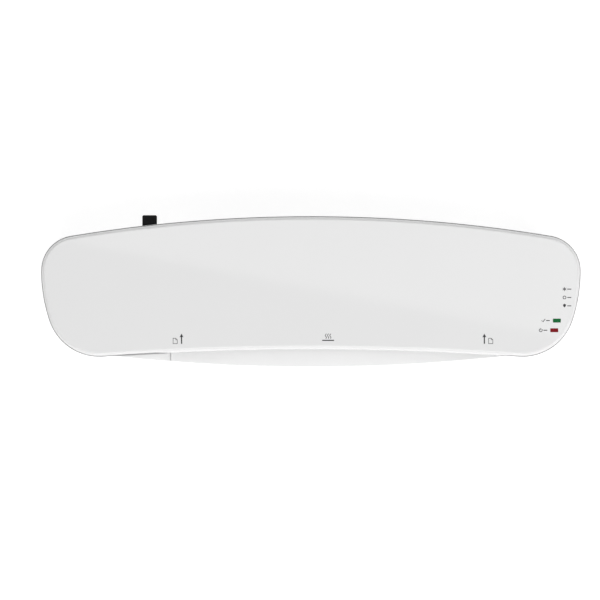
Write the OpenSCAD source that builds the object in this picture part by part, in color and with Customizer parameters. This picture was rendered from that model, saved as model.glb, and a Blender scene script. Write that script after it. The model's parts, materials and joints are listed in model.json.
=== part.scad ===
// Small-format pouch laminator: two heated shoes, one pair of silicone rollers, a side mode switch
// and a jam-release lever at the back. Millimetres. The front faces -Y, +Z is up, and the origin is
// on the table under the middle of the machine.

/* [Body] */
// Width of the upper cover
cover_w = 375; // [373:0.5:378]
// Overall height, from the table to the flat top
body_h = 64; // [64:0.5:67]
// Distance from the origin to the front of the feed lip, and to the tip of the release lever
reach = 53; // [52.5:0.25:53.5]
// Distance from the origin to the middle of the upper cover's rear edge
rear_edge = 52.4; // [52:0.1:52.6]
// Distance from the origin to the middle of the upper cover's front edge
front_edge = 40.7; // [40.5:0.1:41.2]
// Wall thickness of both covers
wall = 2.2; // [1.8:0.1:2.5]

/* [Plan curves] */
// Radius of the long rear edge
rear_r = 1024; // [1000:4:1100]
// Radius of the bowed ends
side_r = 110; // [106:1:114]
// Radius of the front corners
front_corner_r = 37; // [34:0.5:39]
// Radius of the feed lip's front edge
lip_r = 1240; // [1230:2:1264]

/* [Pouch path] */
// Sideways offset of the feed from the middle of the machine
path_x = 15.6; // [15:0.1:16]
// Width of the feed slot
slot_w = 229; // [225:0.5:229]
// Height of the nip line above the table
nip_z = 34; // [34:0.1:34.4]

/* [Rollers] */
// Diameter of the silicone sleeves
roller_d = 20; // [19.8:0.05:20]
// Diameter of the roller shafts
shaft_d = 8; // [7.6:0.1:8]

/* [Controls] */
// Sideways place of the release lever
lever_x = -112.5; // [-112.5:0.1:-111.5]
// Turn of the release lever, in degrees
lever_turn = 12; // [8:1:12]
// Place of the mode knob along Y, at its middle (off) position
mode_y = -4.4; // [-5:0.1:-4]
// Step of the mode knob from off to cold, and from off to hot
mode_step = 5.8; // [5:0.1:5.9]

/* [Hidden] */
$fn = 48;
gap = 0.02;          // line-to-line fits inside one body
run = 0.05;          // running clearance of a shaft in a bush

// --- plan outlines -------------------------------------------------------------------------
// Both covers share the rear, end and corner arcs. Each outline is a list of arcs
// [centre, radius, start angle, end angle, segments, +1 if an inset shrinks the radius].
side_y = 14.2;                                   // widest point of the ends
rear_c = [0, rear_edge - rear_r];
side_c = [cover_w / 2 - side_r, side_y];
corner_low = 46;                                 // lowest point of the front corners, along -Y
// the rear corner touches the end tangent and the rear arc
rear_corner_r = (pow(rear_r, 2) - pow(cover_w / 2, 2) - pow(side_y - rear_c.y, 2))
              / (2 * rear_r - cover_w);
rear_corner_c = [cover_w / 2 - rear_corner_r, side_y];
rear_turn = atan2(rear_corner_c.y - rear_c.y, rear_corner_c.x);
// the front corner touches the end arc from inside
front_corner_y = front_corner_r - corner_low;
front_corner_x = side_c.x
    + sqrt(pow(side_r - front_corner_r, 2) - pow(side_y - front_corner_y, 2));
front_corner_c = [front_corner_x, front_corner_y];
side_turn = atan2(front_corner_y - side_y, front_corner_x - side_c.x);
// the cover's front edge is a hollow arc that touches both front corners
hollow_d = front_corner_y + front_edge;
hollow_r = (pow(front_corner_x, 2) + pow(hollow_d, 2) - pow(front_corner_r, 2))
         / (2 * (front_corner_r - hollow_d));
hollow_c = [0, -front_edge - hollow_r];
hollow_turn = atan2(front_corner_x, front_corner_y - hollow_c.y);
// the lower case's front edge is the lip's full arc, touching corners of the same centre
lip_c = [0, lip_r - reach];
lip_turn = atan2(front_corner_y - lip_c.y, front_corner_x);
lower_corner_r = lip_r - norm(front_corner_c - lip_c);
case_inset = front_corner_r - lower_corner_r;    // the lower case stands this far inside the cover

ends = [
    [side_c, side_r, side_turn, 0, 5, 1],
    [rear_corner_c, rear_corner_r, 0, rear_turn, 7, 1],
    [rear_c, rear_r, rear_turn, 90, 10, 1]
];
cover_arcs = concat([
    [hollow_c, hollow_r, 90, 90 - hollow_turn, 7, -1],
    [front_corner_c, front_corner_r, 270 - hollow_turn, 360 + side_turn, 7, 1]
], ends);
lip_arcs = concat([
    [lip_c, lip_r + case_inset, 270, 360 + lip_turn, 10, 1],
    [front_corner_c, front_corner_r, 360 + lip_turn, 360 + side_turn, 6, 1]
], ends);

function half_line(arcs, inset) = [
    for (a = arcs) for (i = [0 : a[4] - 1])
        let (t = a[2] + (a[3] - a[2]) * i / a[4])
        a[0] + (a[1] - a[5] * inset) * [cos(t), sin(t)]
];
function outline(arcs, inset) =
    let (h = half_line(arcs, inset), n = len(h))
    concat(h, [[0, rear_edge - inset]], [for (i = [n - 1 : -1 : 1]) [-h[i].x, h[i].y]]);
function rear_y(x, inset = 0) = rear_c.y + sqrt(pow(rear_r - inset, 2) - x * x);

// A closed solid through rings of equal length, each cap a fan from its own middle point.
module loft(rings) {
    n = len(rings[0]);
    m = len(rings);
    low = [0, side_y / 2, rings[0][0].z];
    high = [0, side_y / 2, rings[m - 1][0].z];
    polyhedron(
        points = concat([for (r = rings) each r], [low, high]),
        faces = concat(
            [for (i = [0 : n - 1]) [m * n, i, (i + 1) % n]],
            [for (k = [0 : m - 2]) for (i = [0 : n - 1])
                [k * n + i, (k + 1) * n + i, (k + 1) * n + (i + 1) % n, k * n + (i + 1) % n]],
            [for (i = [0 : n - 1]) [m * n + 1, (m - 1) * n + (i + 1) % n, (m - 1) * n + i]]
        )
    );
}
// profile is a list of [inset, z]
module shell(arcs, profile)
    loft([for (p = profile) [for (q = outline(arcs, p[0])) [q.x, q.y, p[1]]]]);
module plate2(arcs, inset) polygon(outline(arcs, inset));

// --- helpers ---------------------------------------------------------------------------------
module along_x(x0, x1) translate([x0, 0, 0]) rotate([90, 0, 90]) linear_extrude(x1 - x0) children();
module rod_x(x0, x1, y, z, r) translate([x0, y, z]) rotate([0, 90, 0]) cylinder(h = x1 - x0, r = r);
module rod_y(x, y0, y1, z, r) translate([x, y0, z]) rotate([-90, 0, 0]) cylinder(h = y1 - y0, r = r);
module block(lo, hi) translate(lo) cube(hi - lo);
module rounded_block(lo, hi, r) translate([lo.x, lo.y, lo.z])
    linear_extrude(hi.z - lo.z) translate([r, r]) union() {
        square([hi.x - lo.x - 2 * r, hi.y - lo.y - 2 * r]);
        translate([-r, 0]) square([hi.x - lo.x, hi.y - lo.y - 2 * r]);
        translate([0, -r]) square([hi.x - lo.x - 2 * r, hi.y - lo.y]);
        for (x = [0, hi.x - lo.x - 2 * r], y = [0, hi.y - lo.y - 2 * r])
            translate([x, y]) circle(r);
    }
// A pan-head screw with a cross recess, its head's seat at the origin and its shank along -Z.
module screw(shank_r, length, head_r, head_h) difference() {
    union() {
        cylinder(h = head_h, r = head_r);
        translate([0, 0, -length]) cylinder(h = length + 0.1, r = shank_r);
    }
    for (a = [0, 90]) rotate(a)
        translate([-head_r * 0.6, -head_r * 0.13, head_h * 0.45]) cube([head_r * 1.2, head_r * 0.26, head_h]);
}
// A tube of radius r swept along points, with square-cut ends.
module sweep(path, r, sides = 6) {
    n = len(path);
    function way(i) = let (d = path[min(i + 1, n - 1)] - path[max(i - 1, 0)]) d / norm(d);
    function side(i) = let (c = cross(way(i), [0.17, 0.31, 0.93])) c / norm(c);
    polyhedron(
        points = [for (i = [0 : n - 1]) let (u = side(i), v = cross(way(i), u))
            for (k = [0 : sides - 1]) path[i] + r * (u * cos(360 * k / sides) + v * sin(360 * k / sides))],
        faces = concat(
            [[for (k = [0 : sides - 1]) k]],
            [for (i = [0 : n - 2]) for (k = [0 : sides - 1])
                let (a = i * sides + k, b = i * sides + (k + 1) % sides)
                each [[a, a + sides, b + sides], [a, b + sides, b]]],
            [[for (k = [sides - 1 : -1 : 0]) (n - 1) * sides + k]]
        )
    );
}
// Catmull-Rom curve through a few hand-picked points, for wires.
function curve_at(a, b, c, d, t) = 0.5 * (2 * b + (c - a) * t + (2 * a - 5 * b + 4 * c - d) * t * t
    + (3 * b - a - 3 * c + d) * t * t * t);
function curve(p, steps = 4) = let (n = len(p)) concat(
    [for (i = [0 : n - 2]) for (s = [0 : steps - 1])
        curve_at(p[max(i - 1, 0)], p[i], p[i + 1], p[min(i + 2, n - 1)], s / steps)],
    [p[n - 1]]);

// --- involute gears, module 1 -----------------------------------------------------------------
pressure = 20;
backlash_deg = 0.35;
function inv_deg(a) = tan(a) * 180 / PI - a;
function flank(z, r) = let (base = z / 2 * cos(pressure))
    90 / z - backlash_deg + inv_deg(pressure) - (r > base ? inv_deg(acos(base / r)) : 0);
function gear_points(z, phase) =
    let (tip = z / 2 + 0.95, root = z / 2 - 1.25, base = z / 2 * cos(pressure),
         rs = [root, base, (base + z / 2) / 2, z / 2, z / 2 + 0.5, tip])
    [for (i = [0 : z - 1]) let (c = phase + 360 * i / z) each concat(
        [for (r = rs) r * [cos(c - flank(z, r)), sin(c - flank(z, r))]],
        [for (k = [len(rs) - 1 : -1 : 0]) let (r = rs[k]) r * [cos(c + flank(z, r)), sin(c + flank(z, r))]])];
module gear(x0, x1, y, z, teeth, phase, bore) difference() {
    union() {
        translate([0, y, z]) along_x(x0, x1) polygon(gear_points(teeth, phase));
        rod_x(x1 - 0.5, x1 + 1.2, y, z, bore + 2.5);
    }
    rod_x(x0 - 1, x1 + 2, y, z, bore);
}

// --- main places ---------------------------------------------------------------------------
case_bottom = 3;                 // the case floats this far above the table on its feet
floor_z = case_bottom + wall;
split_z = 30;                    // top of the lower case's rim and of the feed deck
cover_rim = split_z + 0.4;       // the cover's rim stands just clear of it
slot_x0 = path_x - slot_w / 2;
slot_x1 = path_x + slot_w / 2;
slot_top = nip_z + 2.9;          // lower edge of the cover over the pouch slots
exit_low = 31;                   // upper edge of the case under the exit slot
ceiling = body_h - wall;         // underside of the cover's top

frame_t = 4;
frame_half = 121.6;              // from the feed's middle to the middle of each side frame
left_x = path_x - frame_half;
right_x = path_x + frame_half;
frame_top = 57.5;
roll_y = 8;
low_z = nip_z - roller_d / 2 - 0.05;
up_z = nip_z + roller_d / 2 + 0.05;
axle_r = shaft_d / 2;
sleeve_half = 115;
block_w = 11;                    // bearing blocks, along X
block_half = 8.5;                // and along Y
groove = 1.5;
window_half = 7.1;
block_low = up_z - 6;
block_top = up_z + 6;

gear_teeth = 20;
pinion_teeth = 22;
gear_x0 = left_x - 13.5;
gear_x1 = left_x - 8.4;
drive_angle = 163.5;             // from the lower roller to the motor, from +Y towards +Z
drive_r = (gear_teeth + pinion_teeth) / 2;
motor_y = roll_y + drive_r * cos(drive_angle);
motor_z = low_z + drive_r * sin(drive_angle);
// the pinion has a gap where the lower gear's tooth at 162 degrees points
pinion_gap = drive_angle + 180 - (162 - drive_angle) * gear_teeth / pinion_teeth;
pinion_phase = pinion_gap + 180 / pinion_teeth;
plate_x1 = left_x - 16;          // motor bracket, its inner face
motor_r = 23;

lift_y = 27;                     // release shaft
lift_z = 42;
lift_r = 3;
ear_low = 43.7;
// floor of the lever's notch, clear of the tab when it is right down
notch_floor = lift_z - 3.5 - (rear_y(lever_x) - lift_y) * tan(lever_turn);
cam_x = [left_x + 2.3, right_x - 5.1];   // each cam's near edge, just inside its frame
cam_w = 2.8;

shoe_front = -33;
shoe_rear = -3;
shoe_gap = 1;                    // from the nip line to each heated face
shoe_t = 4;

lens_at = [[170.3, -20.4], [168.5, -27.1]];      // ready (green), then power (red)
lens_size = [5.3, 2.5];
board_z = 46.4;
board_low = [153, -31];
board_high = [172.5, -6];
board_posts = [[156, -28], [156, -9]];
mode_z = 20;
pocket_x = 173.5;                // outer face of the mode switch's pocket
pocket_half = [mode_step + 5.2, 6];      // along Y and Z
gland_x = 152;
gland_z = 19;
gland_face = 33.2;
pillars = [[-161, 18], [-157, -22], [161, 18], [148, -27]];
feet_at = [[-146, 17], [-138, -23], [146, 17], [132, -23]];
frame_feet_y = [-14, 24];
standoffs = [[-29, 15], [-29, 45], [-8, 51]];
ear_r = 27.4;                    // the motor's two fixing ears, on one diagonal
ears = [for (s = [-1, 1]) [motor_y + s * ear_r * cos(45), motor_z - s * ear_r * cos(45)]];
wire_holes = [[-22, 46.5], [-20, 20]];

// --- covers ----------------------------------------------------------------------------------
// Volumes cleared for the pouch: the sloping feed channel in front, and the exit slot behind.
channel_line = [[-53.5, 27.4], [-46, 28.6], [-40, 30.4], [-36, 31.4]];
module above_channel(top) along_x(slot_x0, slot_x1)
    polygon(concat([[-60, 27.4]], channel_line, [[-34, 31.4], [-34, top], [-60, top]]));
module exit_slot(low, top) block([slot_x0 - 2, 30, low], [slot_x1 + 2, 60, top]);

module upper_cover() color("whitesmoke") {
    curl = [for (t = [0 : 15 : 90]) [0.4 + 3.3 * (1 - cos(t)), body_h - 5.2 + 5.2 * sin(t)]];
    difference() {
        shell(cover_arcs, concat([[0, cover_rim]], curl));
        // the hollow, less the bosses and ribs that stay in it
        difference() {
            shell(cover_arcs, [[wall, cover_rim - 1], [2.4, ceiling - 5], [2.9, ceiling - 1.6],
                               [4.6, ceiling]]);
            for (p = pillars) translate([p.x, p.y, split_z + gap]) cylinder(h = 40, r = 4);
            for (p = board_posts) translate([p.x, p.y, board_z + 1.6]) cylinder(h = 20, r = 3);
            for (x = [-80, 0, 80]) block([x - 0.8, -38, ceiling - 1.6], [x + 0.8, 44, body_h]);
        }
        block([slot_x0, -60, cover_rim - 2], [slot_x1, -34, slot_top]);
        exit_slot(cover_rim - 2, slot_top);
        block([lever_x - 5.8, 36, cover_rim - 2], [lever_x + 5.8, 60, lift_z + 3.4]);
        for (p = pillars) translate([p.x, p.y, split_z - 1]) cylinder(h = 14, r = 1.5);
        for (p = board_posts) translate([p.x, p.y, board_z]) cylinder(h = 9, r = 1);
        for (c = lens_at)
            block([c.x - lens_size.x / 2 - 0.05, c.y - lens_size.y / 2 - 0.05, ceiling - 3],
                  [c.x + lens_size.x / 2 + 0.05, c.y + lens_size.y / 2 + 0.05, body_h + 1]);
    }
}

module lower_case() color("gainsboro") {
    out = case_inset;
    difference() {
        union() {
            difference() {
                shell(lip_arcs, [
                    [out + 12, case_bottom], [out + 9, case_bottom + 0.6], [out + 7.4, case_bottom + 2.2],
                    [out + 6.7, case_bottom + 5], [out + 0.6, split_z - 4.6], [out + 0.1, split_z - 3.4],
                    [out, split_z - 2.8], [out + 0.1, split_z - 0.6], [out + 0.5, split_z]
                ]);
                // the hollow, less what stands in it
                difference() {
                    shell(lip_arcs, [[out + 12, floor_z], [out + 9, case_bottom + 5.4],
                                     [out + 2.8, split_z - 4.6], [out + 2.6, split_z + 1]]);
                    // feed deck
                    block([-150, -60, split_z - wall], [150, -36.5, split_z + 2]);
                    for (p = pillars) translate([p.x, p.y, floor_z - 1]) cylinder(h = 40, r = 5);
                    for (y = frame_feet_y, x = [left_x - 7, right_x + 7])
                        translate([x, y, floor_z - 1]) cylinder(h = 3.8, r = 4);
                    // boss behind the mains gland, and walls of the mode switch's pocket
                    rod_y(gland_x, 27.4, 50, gland_z, 9);
                    block([pocket_x - wall, mode_y - pocket_half.x - 1.6, mode_z - pocket_half.y - 1.6],
                          [pocket_x + 20, mode_y + pocket_half.x + 1.6, mode_z + pocket_half.y + 1.6]);
                }
            }
            // the tongue that keeps the cover in line
            translate([0, 0, split_z - 1.5]) linear_extrude(4.5) difference() {
                plate2(cover_arcs, 2.7);
                plate2(cover_arcs, 3.9);
            }
            // upstand that closes the foot of the lever's notch
            block([lever_x - 5.4, rear_y(lever_x, 4.3), split_z - 1],
                  [lever_x + 5.4, rear_y(lever_x, 2.8), notch_floor]);
            // ramp under the feed channel, clipped to the lip's own outline
            intersection() {
                union() {
                    along_x(slot_x0 - 1, slot_x1 + 1) polygon([[-60, 25.2], [-60, 29.4], [-50, 29.9],
                        [-36, 29.9], [-36, 29.2], [-40, 28.2], [-46, 26.4]]);
                    block([slot_x0 + run, -44, 29], [slot_x1 - run, -36, 31.9]);
                }
                translate([0, 0, 20]) linear_extrude(20) plate2(lip_arcs, out + 0.7);
            }
        }
        above_channel(40);
        exit_slot(exit_low, 40);
        for (p = pillars) translate([p.x, p.y, case_bottom - 1]) {
            cylinder(h = 18, r = 3.4);
            cylinder(h = 40, r = 1.7);
        }
        for (y = frame_feet_y, x = [left_x - 7, right_x + 7])
            translate([x, y, floor_z - 0.4]) cylinder(h = 5, r = 1.3);
        rod_y(gland_x, 26, 50, gland_z, 5.6);
        rod_y(gland_x, gland_face, 50, gland_z, 8.4);
        for (f = feet_at) translate([f.x, f.y, case_bottom - 1]) cylinder(h = 1.8, r = 7.1);
        // the pocket, and the slot that the knob's stem runs in
        block([pocket_x, mode_y - pocket_half.x, mode_z - pocket_half.y],
              [pocket_x + 20, mode_y + pocket_half.x, mode_z + pocket_half.y]);
        block([pocket_x - 5, mode_y - mode_step - 2.2, mode_z - 1.5],
              [pocket_x + 1, mode_y + mode_step + 2.2, mode_z + 1.5]);
        // cooling slots, in the floor and low in the rear wall
        for (i = [0 : 13])
            block([path_x - 92.5 + 14 * i, -14, case_bottom - 1], [path_x - 89.5 + 14 * i, 20, floor_z + 1]);
        for (i = [0 : 11]) block([path_x - 90 + 16 * i, 34, 13], [path_x - 86 + 16 * i, 54, 24]);
    }
}

module rubber_feet() color("dimgray") for (f = feet_at) translate([f.x, f.y, 0]) {
    cylinder(h = 1, r1 = 6, r2 = 6.8);
    translate([0, 0, 1]) cylinder(h = case_bottom + 0.8 - 1, r = 6.8);
}
module case_screws() color("silver") for (p = pillars)
    translate([p.x, p.y, case_bottom + 17]) rotate([180, 0, 0]) screw(1.48, 20, 2.8, 2);

// --- frame and rollers -------------------------------------------------------------------------
module side_frame(x, side) color("#3b3d40") difference() {
    union() {
        along_x(x - frame_t / 2, x + frame_t / 2) polygon([[-34, 12], [-30, 8], [28, 8], [32, 12],
            [32, frame_top], [-34, frame_top]]);
        // stiffening rib down the front edge
        block([side > 0 ? x : x - 4, -34, 12], [side > 0 ? x + 4 : x, -32.4, frame_top]);
        for (y = frame_feet_y)
            block([side > 0 ? x : x - 11.5, y - 4.5, 8], [side > 0 ? x + 11.5 : x, y + 4.5, 10.5]);
        for (y = [-4, 20]) block([x - 5, y - 4, frame_top - 3], [x + 5, y + 4, frame_top]);
    }
    block([x - 9, roll_y - window_half, block_low - 1], [x + 9, roll_y + window_half, frame_top + 1]);
    rod_x(x - 12, x + 12, roll_y, low_z, 7 + gap);
    rod_x(x - 12, x + 12, lift_y, lift_z, lift_r + run);
    block([x - 9, -22.2, nip_z + shoe_gap + 0.8], [x + 9, -11.8, nip_z + shoe_gap + 3.4]);
    block([x - 9, -22.2, nip_z - shoe_gap - 3.4], [x + 9, -11.8, nip_z - shoe_gap - 0.8]);
    for (y = frame_feet_y) translate([x + side * 7, y, 5]) cylinder(h = 9, r = 1.7);
    for (y = [-4, 20]) translate([x, y, frame_top - 8]) cylinder(h = 9, r = 1);
    for (h = wire_holes) rod_x(x - 12, x + 12, h[0], h[1], 3.5);
    rod_x(x - 12, x + 12, -29, 53, 1.3);         // tie rod screws
    rod_x(x - 12, x + 12, 29, 18, 1.3);
}
module left_side_frame() difference() {
    side_frame(left_x, -1);
    for (s = standoffs) rod_x(left_x - 6, left_x + 6, s[0], s[1], 1.3);
}
module right_side_frame() side_frame(right_x, 1);
module frame_screws() color("silver") for (x = [left_x - 7, right_x + 7], y = frame_feet_y)
    translate([x, y, 10.5 + gap]) screw(1.28, 5.4, 2.8, 1.8);
module spring_caps() color("#3b3d40") for (x = [left_x, right_x]) difference() {
    block([x - 5, roll_y - 16, frame_top + gap], [x + 5, roll_y + 16, frame_top + 1.8]);
    for (y = [-4, 20]) translate([x, y, frame_top - 1]) cylinder(h = 5, r = 1.2);
}
module cap_screws() color("silver") for (x = [left_x, right_x], y = [-4, 20])
    translate([x, y, frame_top + 1.8 + gap]) screw(0.98, 6, 2, 1.2);
module tie_rods() color("silver") for (p = [[-29, 53, 2.4], [29, 18, 2.4]])
    rod_x(left_x + frame_t / 2 + gap, right_x - frame_t / 2 - gap, p[0], p[1], p[2]);
module tie_screws() color("silver") for (p = [[-29, 53], [29, 18]]) {
    // short shanks that stop in the frame walls, one each end
    translate([left_x - frame_t / 2 - gap, p[0], p[1]]) rotate([0, -90, 0]) screw(1.25, 3.9, 2.6, 1.4);
    translate([right_x + frame_t / 2 + gap, p[0], p[1]]) rotate([0, 90, 0]) screw(1.25, 3.9, 2.6, 1.4);
}

module lower_bushings() color("#c9a24a") for (s = [[left_x, 1], [right_x, -1]]) difference() {
    union() {
        rod_x(s[0] - 3, s[0] + 3, roll_y, low_z, 7);
        rod_x(s[1] > 0 ? s[0] + 2.1 : s[0] - 4.6, s[1] > 0 ? s[0] + 4.6 : s[0] - 2.1, roll_y, low_z, 8.4);
    }
    rod_x(s[0] - 8, s[0] + 8, roll_y, low_z, axle_r + run);
}
module bearing_block(x, inner) color("#c9a24a") difference() {
    union() {
        block([x - block_w / 2, roll_y - block_half, block_low],
              [x + block_w / 2, roll_y + block_half, block_top]);
        // stub that centres the spring
        translate([x, roll_y, block_top - 0.5]) cylinder(h = 1.9, r = 2.5);
        // ear that the release cam lifts
        block([inner > 0 ? x + 2.2 : x - 5.5, roll_y + block_half - 1, ear_low],
              [inner > 0 ? x + 5.5 : x - 2.2, roll_y + block_half + 4.5, block_top]);
    }
    for (s = [-1, 1])
        translate([x, roll_y + s * (block_half - groove / 2 + 0.25), up_z])
            cube([frame_t + 0.2, groove + 0.5, 20], center = true);
    rod_x(x - 9, x + 9, roll_y, up_z, axle_r + run);
}
module upper_bearing_left() bearing_block(left_x, 1);
module upper_bearing_right() bearing_block(right_x, -1);
module pressure_springs() color("silver") for (x = [left_x, right_x]) {
    // closed-coil ends and four working turns
    turns = 4;
    low = block_top + 0.55;
    high = frame_top - 0.6;
    sweep([for (i = [0 : 12 * turns])
        [x + 3.7 * cos(30 * i), roll_y + 3.7 * sin(30 * i),
         low + (high - low) * i / (12 * turns)]], 0.45);
}

module roller_shaft(z) color("silver") difference() {
    rod_x(gear_x0 - 1.6, right_x + block_w / 2 + 2.2, roll_y, z, axle_r);
    // flat that keys the gear
    block([gear_x0 - 2, roll_y - 5, z + axle_r - 0.6], [gear_x1 + 0.6, roll_y + 5, z + axle_r + 1]);
}
module roller_sleeve(z) color("#b9442c") difference() {
    rod_x(path_x - sleeve_half, path_x + sleeve_half, roll_y, z, roller_d / 2);
    rod_x(path_x - sleeve_half - 1, path_x + sleeve_half + 1, roll_y, z, axle_r + gap);
}
module roller_gear(z, phase) color("ivory")
    gear(gear_x0, gear_x1, roll_y, z, gear_teeth, phase, axle_r + gap);
// E-clips at both ends of a roller shaft
module roller_clips(z) color("#55585c")
for (x = [gear_x0 - 1.1, right_x + block_w / 2 + 0.5]) difference() {
    rod_x(x, x + 0.8, roll_y, z, axle_r + 2.2);
    rod_x(x - 1, x + 2, roll_y, z, axle_r + gap);
    block([x - 1, roll_y - 1.6, z - 9], [x + 2, roll_y + 1.6, z]);
}
module upper_roller_shaft() roller_shaft(up_z);
module lower_roller_shaft() roller_shaft(low_z);
module upper_roller_sleeve() roller_sleeve(up_z);
module lower_roller_sleeve() roller_sleeve(low_z);
module upper_roller_gear() roller_gear(up_z, 9);
module lower_roller_gear() roller_gear(low_z, 0);
module upper_roller_clips() roller_clips(up_z);
module lower_roller_clips() roller_clips(low_z);

// --- heated shoes and guides ---------------------------------------------------------------------
// One shoe's section, as it stands above the nip line; side is +1 above and -1 below.
function shoe_line(side) = [for (p = [
        [shoe_front - 2.6, 2.6], [shoe_front + 2, shoe_gap], [shoe_rear, shoe_gap],
        [shoe_rear, shoe_gap + shoe_t], [shoe_front + 4, shoe_gap + shoe_t],
        [shoe_front + 1, shoe_gap + 3.2], [shoe_front - 2.6, 4.2]]) [p.x, nip_z + side * p.y]];
module heating_plate(side) color("silver") {
    x0 = left_x + frame_t / 2 + 0.3;
    x1 = right_x - frame_t / 2 - 0.3;
    along_x(x0, x1) polygon(shoe_line(side));
    z0 = nip_z + side * (shoe_gap + 2.1) - 1.1;
    for (x = [x0 - 3.6, x1 - 0.4]) block([x, -22, z0], [x + 4, -12, z0 + 2.2]);
}
module upper_heating_plate() heating_plate(1);
module lower_heating_plate() heating_plate(-1);
module heater_sheet(z) color("#b08d57") rounded_block([path_x - 110, -27, z], [path_x + 110, -7, z + 1.2], 2);
module upper_heater() heater_sheet(nip_z + shoe_gap + shoe_t + gap);
module lower_heater() heater_sheet(nip_z - shoe_gap - shoe_t - 1.2 - gap);
// Disc thermostat: flanged can, two tabs and a strap with ears.
module thermostat(x) translate([x, -17, nip_z + shoe_gap + shoe_t + 1.2 + 2 * gap]) union() {
    cylinder(h = 4.2, r = 8);
    translate([0, 0, 4.2]) cylinder(h = 5, r = 7);
    for (s = [-1, 1]) translate([s * 4 - 0.4, -2, 9]) cube([0.8, 4, 5]);
    difference() {
        translate([-14, -4, 0]) cube([28, 8, 1]);
        for (s = [-1, 1]) translate([s * 11.6, 0, -1]) cylinder(h = 4, r = 1.3);
    }
}
module ready_thermostat() color("#e8e4d8") thermostat(-20);
module safety_thermostat() color("#e8e4d8") thermostat(48);
module thermostat_screws() color("silver") for (x = [-20, 48], s = [-1, 1])
    translate([x + s * 11.6, -17, nip_z + shoe_gap + shoe_t + 2.2 + 3 * gap]) screw(1.2, 0.9, 2.2, 1.4);
module thermal_fuse() color("#d9d4c4") {
    z = nip_z - shoe_gap - shoe_t - 1.2 - 2.6;
    rod_x(path_x + 60, path_x + 72, -17, z, 2.2);
    rod_x(path_x + 52, path_x + 80, -17, z, 0.6);
}
function guide_line(side) = [for (p = [
        [15.6, 1.1], [22, 1.3], [34, 1.9], [38.8, 2.3], [38.8, 3.8], [33, 3.6], [22, 2.9], [17.6, 2.2]])
    [p.x, nip_z + side * p.y]];
module exit_guide(side) color("#4a4c50") difference() {
    union() {
        along_x(left_x + frame_t / 2 + 0.3, right_x - frame_t / 2 - 0.3) polygon(guide_line(side));
        for (x = [-90, -30, 30, 90]) along_x(path_x + x - 1, path_x + x + 1) polygon([
            [22, nip_z + side * 2], [37, nip_z + side * 2],
            [37, nip_z + side * 4.4], [22, nip_z + side * 4.4]]);
    }
    // comb of stripper fingers next to the roller
    for (i = [0 : 15]) block([path_x - 113 + 15 * i, 14, nip_z - 6], [path_x - 105 + 15 * i, 20, nip_z + 6]);
}
module upper_exit_guide() exit_guide(1);
module lower_exit_guide() exit_guide(-1);
module lower_heat_shield() color("silver") difference() {
    union() {
        block([left_x + 3, -32, 9.4], [right_x - 3, 25, 10.2]);
        block([left_x + 3, -32.8, 9.4], [right_x - 3, -32, 16]);
        block([left_x + 3, 24.2, 9.4], [right_x - 3, 25, 14.5]);
    }
    for (i = [0 : 9]) translate([path_x - 90 + 20 * i, -20, 9]) cylinder(h = 3, r = 3);
}

// --- drive ---------------------------------------------------------------------------------------
module motor_bracket() color("silver") difference() {
    union() {
        block([plate_x1 - 1.5, -35, 8], [plate_x1, 14, 56]);
        // folded stiffening edge
        block([plate_x1 - 1.5, -35, 8], [plate_x1 + 5, -33.6, 56]);
    }
    rod_x(plate_x1 - 3, plate_x1 + 2, motor_y, motor_z, 7);
    for (s = standoffs) rod_x(plate_x1 - 3, plate_x1 + 2, s[0], s[1], 2);
    for (e = ears) rod_x(plate_x1 - 3, plate_x1 + 2, e[0], e[1], 1.6);
}
module motor_standoffs() color("#c9a24a") for (s = standoffs) difference() {
    union() {
        rod_x(plate_x1 + gap, left_x - frame_t / 2 - gap, s[0], s[1], 3);
        // spigot swaged into the bracket
        rod_x(plate_x1 - 1.48, plate_x1 + 1, s[0], s[1], 2 - gap);
    }
    rod_x(plate_x1 + 5, left_x, s[0], s[1], 1.28);
}
module motor_screws() color("silver") {
    for (s = standoffs) translate([left_x + frame_t / 2 + gap, s[0], s[1]])
        rotate([0, 90, 0]) screw(1.25, 9, 2.6, 1.4);
    for (e = ears) translate([plate_x1 - 2.7 - gap, e[0], e[1]])
        rotate([0, -90, 0]) screw(1.45, 4.4, 2.6, 1.6);
}
module drive_motor() color("silver") difference() {
    union() {
        rod_x(plate_x1 - 23.5, plate_x1 - 1.5 - gap, motor_y, motor_z, motor_r);
        rod_x(plate_x1 - 2, plate_x1 + 0.5, motor_y, motor_z, 5.5);
        translate([0, motor_y, motor_z]) along_x(plate_x1 - 2.7, plate_x1 - 1.5 - gap) rotate(-45) union() {
            square([2 * ear_r, 8], center = true);
            for (s = [-1, 1]) translate([s * ear_r, 0]) circle(4);
        }
        // terminal box on the can
        block([plate_x1 - 17, motor_y + 12, motor_z + 14], [plate_x1 - 7, motor_y + 21, motor_z + 22]);
    }
    for (e = ears) rod_x(plate_x1 - 4, plate_x1, e[0], e[1], 1.5);
    rod_x(plate_x1 - 12, plate_x1 + 2, motor_y, motor_z, 3 + run);
}
module motor_shaft() color("silver") rod_x(plate_x1 - 11, gear_x1 + 1, motor_y, motor_z, 3);
module motor_pinion() color("ivory")
    gear(gear_x0, gear_x1, motor_y, motor_z, pinion_teeth, pinion_phase, 3 + gap);

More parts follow.
